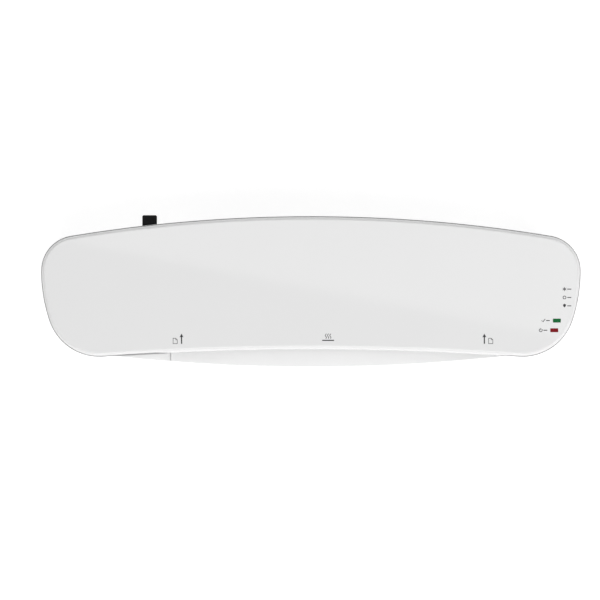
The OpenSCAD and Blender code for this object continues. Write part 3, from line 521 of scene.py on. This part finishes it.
def case_extras():
    """The screw pillars, and the gland's boss and the pocket's walls, which are clipped to the
    inside of the case."""
    bm = bmesh.new()
    walls = rounded_rect(KNOB_Y, KNOB_Z, *(2 * (half + POCKET_WALL) for half in POCKET_HALF),
                         POCKET_OUTER_R)
    prism_into(bm, walls, POCKET_X - WALL, POCKET_X + BEYOND, ALONG_X)
    prism_into(bm, gland_disc(GLAND_BOSS_R), GLAND_BOSS_Y, OUTSIDE_Y, ALONG_Y)
    block = finish_mesh("extras", bm)
    cut(block, inner_skin(), "INTERSECT")
    joined = bmesh.new()
    joined.from_mesh(block.data)
    joined.transform(Matrix.Scale(1 / MM, 4))
    bpy.data.objects.remove(block)
    for x, y in PILLARS:
        prism_into(joined, disc(x, y, PILLAR_R), FLOOR_Z - 1, SPLIT_Z)
    return joined


def feet_boxes():
    """Plan boxes of the four feet, found from the one node that holds them all."""
    found = {}
    for v in NODES["rubber_feet"].data.vertices:
        key = (v.co.x > 0, v.co.y > 0)
        x, y = v.co.x / MM, v.co.y / MM
        lo, hi = found.get(key, ((x, y), (x, y)))
        found[key] = ((min(lo[0], x), min(lo[1], y)), (max(hi[0], x), max(hi[1], y)))
    return [found[k] for k in sorted(found)]


def wall_inset(z):
    """Inset of the case's tapered wall at height z."""
    return CASE_INSET + TAPER_IN + TAPER_RUN * (TAPER_Z - z) / TAPER_RISE


def rear_y(x, inset):
    return REAR_EDGE - REAR_R + math.sqrt((REAR_R - inset) ** 2 - x * x)


def vent_into(bm, x, z):
    """A slot through the leaning rear wall, with its mouth flared."""
    place = (Matrix.Translation((x, rear_y(x, wall_inset(z)), z))
             @ Matrix.Rotation(-math.asin(x / REAR_R), 4, "Z")
             @ Matrix.Rotation(-WALL_LEAN, 4, "X") @ ALONG_Y)
    rings = []
    for depth, grow in ((-VENT_DEPTH, 0), (-VENT_FLARE, 0), (0.4, VENT_FLARE + 0.4)):
        outline = stadium(0, 0, *(size + 2 * grow for size in VENT_SIZE))
        rings.append([place @ Vector((px, py, depth)) for px, py in outline])
    loft_into(bm, rings)


def case_cutters():
    """Everything that is cut from the case."""
    bm = bmesh.new()
    under = BOTTOM_Z - 1
    for x, y in PILLARS:
        prism_into(bm, disc(x, y, HEAD_R), under, BOTTOM_Z + HEAD_DEPTH)
        prism_into(bm, disc(x, y, SHANK_R), BOTTOM_Z + HEAD_DEPTH - 1, SPLIT_Z + 4)
    for lo, hi in feet_boxes():
        outline = disc((lo[0] + hi[0]) / 2, (lo[1] + hi[1]) / 2, (hi[0] - lo[0]) / 2 + FOOT_GAP, 56)
        prism_into(bm, outline, under, BOTTOM_Z + FOOT_DEPTH)
    for i in range(FLOOR_SLOTS):
        x = PATH_X + FLOOR_SLOT_X + FLOOR_PITCH * i
        prism_into(bm, stadium(x, FLOOR_SLOT_Y, *FLOOR_SLOT), under, FLOOR_Z + 1)
    prism_into(bm, gland_disc(GLAND_HOLE_R), GLAND_HOLE_Y, GLAND_FACE + 1, ALONG_Y)
    prism_into(bm, gland_disc(GLAND_SEAT_R, 64), GLAND_FACE, OUTSIDE_Y, ALONG_Y)
    pocket = rounded_rect(KNOB_Y, KNOB_Z, *(2 * half for half in POCKET_HALF), POCKET_R)
    prism_into(bm, pocket, POCKET_X, POCKET_X + BEYOND, ALONG_X)
    slot = rounded_rect(KNOB_Y, KNOB_Z, *KNOB_SLOT, KNOB_SLOT_R)
    prism_into(bm, slot, POCKET_X - 5, POCKET_X + 1, ALONG_X)
    for i in range(VENTS):
        vent_into(bm, PATH_X + VENT_X + VENT_PITCH * i, VENT_Z)
    front = [c for c in columns(COVER_ARCS) if c.arc < 2 and c.y < SHADOW_Y]
    for side in (-1, 1):  # shadow gap before the cover's foot, beside the channel
        line = [c for c in front if side * c.x > max(side * SLOT_X0, side * SLOT_X1) + 1]
        gap = [inset_point(c, SHADOW_IN, 0)[:2] for c in line]
        gap += [inset_point(c, SHADOW_OUT, 0)[:2] for c in line[::-1]]
        prism_into(bm, gap, SPLIT_Z - SHADOW_DEPTH, SPLIT_Z + 1)
    return bm


# --- materials ------------------------------------------------------------------------------------
def new_material(name):
    mat = bpy.data.materials.new(name)
    mat.use_nodes = True
    tree = mat.node_tree
    return mat, tree, tree.nodes["Principled BSDF"]


def drive(shader, socket, value):
    """Feeds one of a shader's inputs from another node's output."""
    shader.id_data.links.new(value, shader.inputs[socket])


def preset(node, **values):
    """Sets a node's inputs, named with _ for a space."""
    for key, value in values.items():
        node.inputs[key.replace("_", " ")].default_value = value


def coords(tree, scale=(1, 1, 1)):
    """Object coordinates in metres, scaled along each axis."""
    where = tree.nodes.new("ShaderNodeTexCoord")
    mapping = tree.nodes.new("ShaderNodeMapping")
    preset(mapping, Scale=scale)
    tree.links.new(where.outputs["Object"], mapping.inputs["Vector"])
    return mapping.outputs["Vector"]


def noise(tree, vector, scale, detail=3.0, rough=0.55):
    n = tree.nodes.new("ShaderNodeTexNoise")
    preset(n, Scale=scale, Detail=detail, Roughness=rough)
    tree.links.new(vector, n.inputs["Vector"])
    return n.outputs["Fac"]


def spread(tree, value, low, high):
    """Maps the middle half of a noise on to a range."""
    m = tree.nodes.new("ShaderNodeMapRange")
    preset(m, From_Min=0.25, From_Max=0.75, To_Min=low, To_Max=high)
    tree.links.new(value, m.inputs["Value"])
    return m.outputs["Result"]


def tint(tree, value, colour, dark, light):
    """A colour that varies between two shares of itself with a noise."""
    ramp = tree.nodes.new("ShaderNodeValToRGB")
    for stop, place, k in zip(ramp.color_ramp.elements, (0.3, 0.7), (dark, light)):
        stop.position, stop.color = place, shade(colour, k)
    tree.links.new(value, ramp.inputs["Fac"])
    return ramp.outputs["Color"]


def bump(tree, height, strength, distance):
    b = tree.nodes.new("ShaderNodeBump")
    preset(b, Strength=strength, Distance=distance)
    tree.links.new(height, b.inputs["Height"])
    return b.outputs["Normal"]


def shade(colour, k):
    """A colour made k times as bright, with its alpha."""
    return (*(min(1.0, c * k) for c in colour), 1)


def plastic(name, colour, rough, vary=0.02, grain=0.0, grain_scale=1500, sheen=0.5):
    """Moulded plastic: a slight drift of colour, uneven gloss, and a fine grain if it has one."""
    mat, tree, bsdf = new_material(name)
    at = coords(tree)
    drift = noise(tree, at, scale=18, detail=2)
    drive(bsdf, "Base Color", tint(tree, drift, colour, 1 - vary, 1 + vary))
    gloss = noise(tree, at, scale=60, detail=4)
    drive(bsdf, "Roughness", spread(tree, gloss, rough * 0.85, rough * 1.15))
    preset(bsdf, Specular_IOR_Level=sheen)
    if grain:
        fine = noise(tree, at, grain_scale, detail=2)
        drive(bsdf, "Normal", bump(tree, fine, strength=grain, distance=0.00006))
    return mat


def metal(name, colour, rough, along=(1, 1, 1)):
    """Drawn or rolled metal, with its grain stretched along one axis and faint stains."""
    mat, tree, bsdf = new_material(name)
    preset(bsdf, Metallic=1)
    grain = noise(tree, coords(tree, along), scale=260, detail=4, rough=0.7)
    stain = noise(tree, coords(tree), scale=40, detail=3)
    drive(bsdf, "Base Color", tint(tree, stain, colour, 0.88, 1.06))
    drive(bsdf, "Roughness", spread(tree, grain, rough * 0.7, rough * 1.4))
    drive(bsdf, "Normal", bump(tree, grain, strength=0.25, distance=0.00004))
    return mat


def rubber(name, colour, rough):
    mat, tree, bsdf = new_material(name)
    at = coords(tree)
    drive(bsdf, "Base Color", tint(tree, noise(tree, at, scale=90, detail=4), colour, 0.86, 1.14))
    bloom = noise(tree, at, scale=200, detail=3)
    drive(bsdf, "Roughness", spread(tree, bloom, rough * 0.85, min(1, rough * 1.15)))
    preset(bsdf, Specular_IOR_Level=0.35)
    skin = noise(tree, at, scale=900, detail=3)
    drive(bsdf, "Normal", bump(tree, skin, strength=0.5, distance=0.00008))
    return mat


def lens(name, colour, glow):
    """A tinted diffusing lens over a small lamp that is on."""
    mat, tree, bsdf = new_material(name)
    at = coords(tree)
    ribs = tree.nodes.new("ShaderNodeTexWave")
    preset(ribs, Scale=620, Distortion=0.4)
    tree.links.new(at, ribs.inputs["Vector"])
    drive(bsdf, "Base Color", tint(tree, ribs.outputs["Fac"], colour, 0.75, 1.2))
    preset(bsdf, Roughness=0.22, Specular_IOR_Level=0.12)
    drive(bsdf, "Normal", bump(tree, ribs.outputs["Fac"], strength=0.2, distance=0.00005))
    preset(bsdf, Emission_Color=(*colour, 1), Emission_Strength=glow)
    return mat


def laminate(name, colour):
    """Circuit board: solder mask with paler copper runs under it."""
    mat, tree, bsdf = new_material(name)
    brick = tree.nodes.new("ShaderNodeTexBrick")
    preset(brick, Scale=210, Mortar_Size=0.06, Color1=shade(colour, 0.9), Color2=(*colour, 1),
           Mortar=shade(colour, 1.9))
    tree.links.new(coords(tree), brick.inputs["Vector"])
    drive(bsdf, "Base Color", brick.outputs["Color"])
    drive(bsdf, "Normal", bump(tree, brick.outputs["Fac"], strength=0.3, distance=0.00004))
    preset(bsdf, Roughness=0.3)
    return mat


def braid(name, colour):
    """Woven glass sleeving."""
    mat, tree, bsdf = new_material(name)
    weave = tree.nodes.new("ShaderNodeTexVoronoi")
    preset(weave, Scale=1800)
    tree.links.new(coords(tree, (1, 1.6, 1)), weave.inputs["Vector"])
    drive(bsdf, "Base Color", tint(tree, weave.outputs["Distance"], colour, 0.75, 1.15))
    drive(bsdf, "Normal", bump(tree, weave.outputs["Distance"], strength=0.6, distance=0.0001))
    preset(bsdf, Roughness=0.85)
    return mat


COVER_GREY = (0.77, 0.77, 0.77)
CASE_WHITE = (0.79, 0.79, 0.79)
JET = (0.009, 0.009, 0.01)
LENS_GREEN = (0.003, 0.115, 0.028)
LENS_RED = (0.18, 0.003, 0.007)
LENS_GLOW = 0.12
ROUGH = {"gloss": 0.12, "satin": 0.38, "matte": 0.62}


def slot_material(entry):
    """The material for one of the record's slots, by its name or else by its class."""
    name, kind, colour = entry["slot"], entry["class"], tuple(entry["base_color"])
    finish = entry["finish"]
    special = {
        "cover_plastic": lambda: plastic(name, COVER_GREY, 0.03, 0.004, sheen=0.36),
        "case_plastic": lambda: plastic(name, CASE_WHITE, 0.42, 0.008, grain=0.12, sheen=0.2),
        "black_plastic": lambda: plastic(name, JET, 0.5, 0.1, 0.5, grain_scale=1300, sheen=0.12),
        "lens_green": lambda: lens(name, LENS_GREEN, LENS_GLOW),
        "lens_red": lambda: lens(name, LENS_RED, LENS_GLOW),
        "board_laminate": lambda: laminate(name, colour),
        "wire_glass_braid": lambda: braid(name, colour),
        "shaft_steel": lambda: metal(name, colour, 0.16, along=(1, 6, 6)),
        "shoe_aluminium": lambda: metal(name, colour, 0.3, along=(0.15, 3, 3)),
        "mica_heater": lambda: plastic(name, colour, 0.4, 0.25, grain=0.4, grain_scale=300),
    }
    if name in special:
        return special[name]()
    if kind in ("brushed_steel", "brass", "aluminium"):
        return metal(name, colour, 0.3)
    if kind == "rubber":
        return rubber(name, colour, 0.45 if finish == "satin" else 0.65)
    if kind == "painted_metal":
        return plastic(name, colour, 0.4, 0.08, grain=0.5, grain_scale=700)
    return plastic(name, colour, ROUGH[finish], 0.06, grain=0.35, grain_scale=1100)


MATERIALS = {m["slot"]: slot_material(m) for m in frame["record"]["materials"]}
SLOT_OF = {s["node"]: s["material_slot"] for s in frame["record"]["subparts"]}
SOFTENED = {"release_lever": 0.35, "mode_knob": 0.3, "cord_gland": 0.35, "rubber_feet": 0.4}


def dress(obj, slot_name):
    obj.data.materials.clear()
    obj.data.materials.append(MATERIALS[slot_name])


def soften(node, width):
    """Rounds a CAD node's edges with modifiers only."""
    obj = NODES[node]
    weld = obj.modifiers.new("weld", "WELD")
    weld.merge_threshold = 1e-6
    bevel = obj.modifiers.new("round", "BEVEL")
    bevel.width, bevel.segments = width * MM, 3
    bevel.limit_method, bevel.angle_limit = "ANGLE", math.radians(35)
    bevel.harden_normals = False


for node, obj in NODES.items():
    dress(obj, SLOT_OF[node])
for node, width in SOFTENED.items():
    soften(node, width)


# --- the replaced shells --------------------------------------------------------------------------
cover = cover_shell()
dress(cover, "cover_plastic")
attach(cover, "housing")
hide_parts("upper_cover")

case = case_shell()
dress(case, "case_plastic")
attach(case, "housing")
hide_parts("lower_case")


# --- printed marks --------------------------------------------------------------------------------
PRINT_H, PRINT_SINK = 0.04, 0.02  # above the top, and down into it
INK = plastic("ink", (0.02, 0.02, 0.022), 0.45, 0.1)
ARROW_Y = (-36.5, -29.4)
ARROW_X = {-1: -105.2, 1: 104.5}  # by side, from the middle of the pouch's way
PAGE_OFF, PAGE_Y = 4.4, -34.5
PAGE_W, PAGE_H, PAGE_LINE, PAGE_FOLD = 2.9, 3.7, 0.34, 1.1
HEAT_AT = (11.9, -34.1)
LAMP_MARK_OFF = 6.2  # a lamp's mark, from its lens
LAMP_LEADER = (4.3, 1.7)  # start and end of its leader
STATE_X, STATE_PITCH = 175.6, 5.8  # marks of the three switch positions
STATE_LEADER = (1.9, 4.7)
LEADER_LINE, TICK_LINE, STANDBY_LINE, RING_LINE = 0.58, 0.5, 0.44, 0.46
WAVE_LINE, STAR_LINE = 0.42, 0.42


def ribbon(points, width):
    """A closed outline round an open line, of even width with square ends."""
    left, right = [], []
    for i, (x, y) in enumerate(points):
        ax, ay = points[max(i - 1, 0)]
        bx, by = points[min(i + 1, len(points) - 1)]
        dx, dy = bx - ax, by - ay
        k = width / 2 / math.hypot(dx, dy)
        left.append((x - dy * k, y + dx * k))
        right.append((x + dy * k, y - dx * k))
    return left + right[::-1]


def leader(x0, x1, y):
    return ribbon([(x0, y), (x1, y)], LEADER_LINE)


def ring(x, y, r, width, start=0, end=360, steps=40):
    """A ring in four pieces, or an open arc in one."""
    turns = [math.radians(start + (end - start) * i / steps) for i in range(steps + 1)]
    points = [(x + r * math.cos(t), y + r * math.sin(t)) for t in turns]
    part = steps // 4 if end - start == 360 else steps
    return [ribbon(points[i:i + part + 1], width) for i in range(0, steps, part)]


def arrow(x, y0, y1):
    """Shaft and filled head, pointing into the machine."""
    half, head_half, head, barb = 0.42, 1.35, 2.2, 2.6
    return [[(x - half, y0), (x + half, y0), (x + half, y1 - head), (x - half, y1 - head)],
            [(x - head_half, y1 - barb), (x, y1 - head), (x + head_half, y1 - barb), (x, y1)]]


def page(x, y):
    """A small sheet with a turned corner, that stands for the pouch size."""
    left, right = x - PAGE_W / 2, x + PAGE_W / 2
    low, high = y - PAGE_H / 2, y + PAGE_H / 2
    turn_x, turn_y, half = right - PAGE_FOLD, high - PAGE_FOLD, PAGE_LINE / 2
    lines = ([(left, low), (right, low)], [(left, low - half), (left, high + half)],
             [(right, low - half), (right, turn_y)], [(left, high), (turn_x, high)],
             [(turn_x, high + half), (turn_x, turn_y), (right + half, turn_y)],
             [(turn_x, high), (right, turn_y)])
    return [ribbon(line, PAGE_LINE) for line in lines]


def heat_mark(x, y):
    """Three rising waves over a bar."""
    bar_half, bar_line = 4.1, 0.75
    gap, sway, foot, rise, steps = 1.55, 0.42, 1.2, 3.4, 14
    shapes = [ribbon([(x - bar_half, y), (x + bar_half, y)], bar_line)]
    for k in (-1, 0, 1):
        wave = [(x + gap * k + sway * math.sin(math.tau * i / 12), y + foot + rise * i / steps)
                for i in range(steps + 1)]
        shapes.append(ribbon(wave, WAVE_LINE))
    return shapes


def cold_mark(x, y, r=1.4):
    """A six-armed frost star."""
    arms = [(r * math.cos(a), r * math.sin(a)) for a in (math.radians(d) for d in (30, 90, 150))]
    return [ribbon([(x + dx, y + dy), (x - dx, y - dy)], STAR_LINE) for dx, dy in arms]


def warm_mark(x, y, steps=28):
    """A plain drop-shaped flame, drawn out to a point."""
    outline = []
    for t in (math.tau * i / steps for i in range(steps)):
        tip = 0.25 if abs(t - math.pi) < 0.2 else 0
        outline.append((x + 0.95 * math.sin(t) * (1 - 0.45 * math.cos(t)),
                        y + 0.1 - 1.15 * math.cos(t) + tip))
    return [outline]


def tick_mark(x, y):
    return [ribbon([(x - 1.2, y + 0.1), (x - 0.3, y - 0.9), (x + 1.3, y + 1.1)], TICK_LINE)]


def standby_mark(x, y):
    """An open ring with a bar in its gap."""
    bar = ribbon([(x, y + 0.2), (x, y + 1.5)], STANDBY_LINE)
    return ring(x, y, 1.05, STANDBY_LINE, 125, 415) + [bar]


def lamp_and_mode_marks():
    """A mark and a leader for each lamp and each position of the switch."""
    ready_x, power_x = box_mm("ready_lens")[0].x, box_mm("power_lens")[0].x
    ready_y, power_y = middle("ready_lens", Y), middle("power_lens", Y)
    shapes = tick_mark(ready_x - LAMP_MARK_OFF, ready_y)
    shapes += [leader(x - LAMP_LEADER[0], x - LAMP_LEADER[1], y)
               for x, y in ((ready_x, ready_y), (power_x, power_y))]
    shapes += standby_mark(power_x - LAMP_MARK_OFF, power_y)
    shapes += cold_mark(STATE_X, KNOB_Y + STATE_PITCH)
    shapes += ring(STATE_X, KNOB_Y, 1, RING_LINE)
    shapes += warm_mark(STATE_X, KNOB_Y - STATE_PITCH)
    start, end = (STATE_X + off for off in STATE_LEADER)
    shapes += [leader(start, end, KNOB_Y + STATE_PITCH * k) for k in (-1, 0, 1)]
    return shapes


def print_mark(name, outlines):
    bm = bmesh.new()
    for outline in outlines:
        prism_into(bm, outline, TOP_Z - PRINT_SINK, TOP_Z + PRINT_H)
    obj = finish_mesh(name, bm, "housing", MARK_SHARP)
    obj.data.materials.append(INK)


feed_marks = []
for side, off in ARROW_X.items():
    feed_marks += arrow(PATH_X + off, *ARROW_Y)
    feed_marks += page(PATH_X + off + side * PAGE_OFF, PAGE_Y)
print_mark("feed_marks", feed_marks)
print_mark("heat_mark", heat_mark(*HEAT_AT))
print_mark("lamp_and_mode_marks", lamp_and_mode_marks())


# --- springs --------------------------------------------------------------------------------------
WIRE_R = 0.45
CLOSED_TURNS, OPEN_TURNS = 0.8, 3.4  # closed at each end, and open between
STEPS_PER_TURN, WIRE_SIDES = 26, 10


def spring_rings(x, y, low, high, radius, wire):
    """Rings along a compression spring: open turns between closed, flattened end turns."""
    total = 2 * CLOSED_TURNS + OPEN_TURNS
    steps = round(total * STEPS_PER_TURN)
    rise = (high - low - 2 * wire - 2 * CLOSED_TURNS * wire * 2) / OPEN_TURNS
    path = []
    for i in range(steps + 1):
        turn = total * i / steps
        z = low + wire + 2 * wire * min(turn, CLOSED_TURNS)
        z += rise * max(0.0, min(turn - CLOSED_TURNS, OPEN_TURNS))
        z += 2 * wire * max(0.0, turn - CLOSED_TURNS - OPEN_TURNS)
        a = math.tau * turn
        path.append(Vector((x + radius * math.cos(a), y + radius * math.sin(a), z)))
    rings = []
    for i, p in enumerate(path):
        along = (path[min(i + 1, steps)] - path[max(i - 1, 0)]).normalized()
        out = Vector((p.x - x, p.y - y, 0)).normalized()
        up = along.cross(out).normalized()
        rings.append([p + wire * (math.cos(t) * out + math.sin(t) * up)
                      for t in (math.tau * k / WIRE_SIDES for k in range(WIRE_SIDES))])
    return rings


def pressure_springs():
    """Both springs above the bearing blocks."""
    lo, hi = box_mm("pressure_springs")
    outer = (hi.y - lo.y) / 2
    bm = bmesh.new()
    for x in (lo.x + outer, hi.x - outer):
        loft_into(bm, spring_rings(x, (lo.y + hi.y) / 2, lo.z, hi.z, outer - WIRE_R, WIRE_R))
    springs = finish_mesh("pressure_spring_coils", bm, "housing", COIL_SHARP)
    dress(springs, SLOT_OF["pressure_springs"])
    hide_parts("pressure_springs")
    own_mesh(springs)


pressure_springs()


# --- stage, camera and light, in metres -----------------------------------------------------------
FLOOR_HALF, FLOOR_DROP = 6.0, 0.1 * MM
FLOOR_GREYS, FLOOR_GLOW = (0.61, 0.63), 0.6  # darkest and lightest, and its own light
SKY_LOW, SKY_HIGH = 0.27, 0.66
LENS, SENSOR = 240, 36
VIEW_W = 0.4173  # width of the picture at the reference height
VIEW_Z = 0.052  # height at which that width is true
VIEW_X, VIEW_Y = -0.00757, -0.00615
CAMERA_Z = VIEW_Z + VIEW_W * LENS / SENSOR
CLIP_END = 50
AIM = (0, 0, 0.03)


def into_scene(name, data):
    obj = bpy.data.objects.new(name, data)
    bpy.context.scene.collection.objects.link(obj)
    return obj


def floor():
    """A plain white table, just under the feet."""
    mesh = bpy.data.meshes.new("floor")
    s, z = FLOOR_HALF, CAD_LO[2] - FLOOR_DROP
    mesh.from_pydata([(-s, -s, z), (s, -s, z), (s, s, z), (-s, s, z)], [], [(0, 1, 2, 3)])
    mat, tree, bsdf = new_material("floor_paper")
    mottle = noise(tree, coords(tree), scale=3, detail=2)
    drive(bsdf, "Base Color", tint(tree, mottle, (1, 1, 1), *FLOOR_GREYS))
    preset(bsdf, Roughness=0.9, Specular_IOR_Level=0.1, Emission_Color=(1, 1, 1, 1),
           Emission_Strength=FLOOR_GLOW)
    mesh.materials.append(mat)
    into_scene("floor", mesh)


def camera():
    """Looks straight down, as wide at the reference height as the picture is."""
    data = bpy.data.cameras.new("camera")
    data.lens, data.sensor_width, data.clip_end = LENS, SENSOR, CLIP_END
    obj = into_scene("camera", data)
    obj.location = (VIEW_X, VIEW_Y, CAMERA_Z)
    bpy.context.scene.camera = obj


def sky():
    """An even white surround, brighter above than below."""
    world = bpy.data.worlds.new("studio")
    world.use_nodes = True
    tree = world.node_tree
    direction = tree.nodes.new("ShaderNodeTexCoord")
    height = tree.nodes.new("ShaderNodeSeparateXYZ")
    fade = tree.nodes.new("ShaderNodeMapRange")
    preset(fade, To_Min=SKY_LOW, To_Max=SKY_HIGH)
    tree.links.new(direction.outputs["Generated"], height.inputs["Vector"])
    tree.links.new(height.outputs["Z"], fade.inputs["Value"])
    drive(tree.nodes["Background"], "Strength", fade.outputs["Result"])
    preset(tree.nodes["Background"], Color=(1, 1, 1, 1))
    bpy.context.scene.world = world
    bpy.context.scene.view_settings.view_transform = "Standard"


def area(name, place, aim, size, radiance, size_y=None):
    """A soft box with an even radiance, facing a point."""
    light = bpy.data.lights.new(name, "AREA")
    light.shape, light.size, light.size_y = "RECTANGLE", size, size_y or size
    light.energy = radiance * math.pi * light.size * light.size_y
    obj = into_scene(name, light)
    obj.location = place
    obj.rotation_euler = (Vector(aim) - Vector(place)).to_track_quat("-Z", "Y").to_euler()
    return obj


def overhead():
    """The large soft box above, whose one edge shows as a slanting line in the glossy top."""
    above = 1.2  # above the camera
    slant = math.radians(-10.9)
    wide, deep = 2.0, 1.0
    edge_y = 0.0033  # place of the line on the top, straight under the camera
    top = TOP_Z * MM
    reach = 1 + (CAMERA_Z + above - top) / (CAMERA_Z - top)
    centre = Vector((VIEW_X - math.sin(slant) * deep / 2,
                     VIEW_Y + (edge_y - VIEW_Y) * reach + math.cos(slant) * deep / 2,
                     CAMERA_Z + above))
    light = area("overhead", centre, centre - Vector((0, 0, 1)), wide, 1.3, deep)
    light.rotation_euler = (0, 0, slant)


floor()
camera()
sky()
overhead()
area("key", (0.5, -1.8, 2.35), AIM, size=3.4, radiance=2.3, size_y=2.3)
area("side", (2.1, -0.3, 2.3), AIM, size=1.5, radiance=1.0)
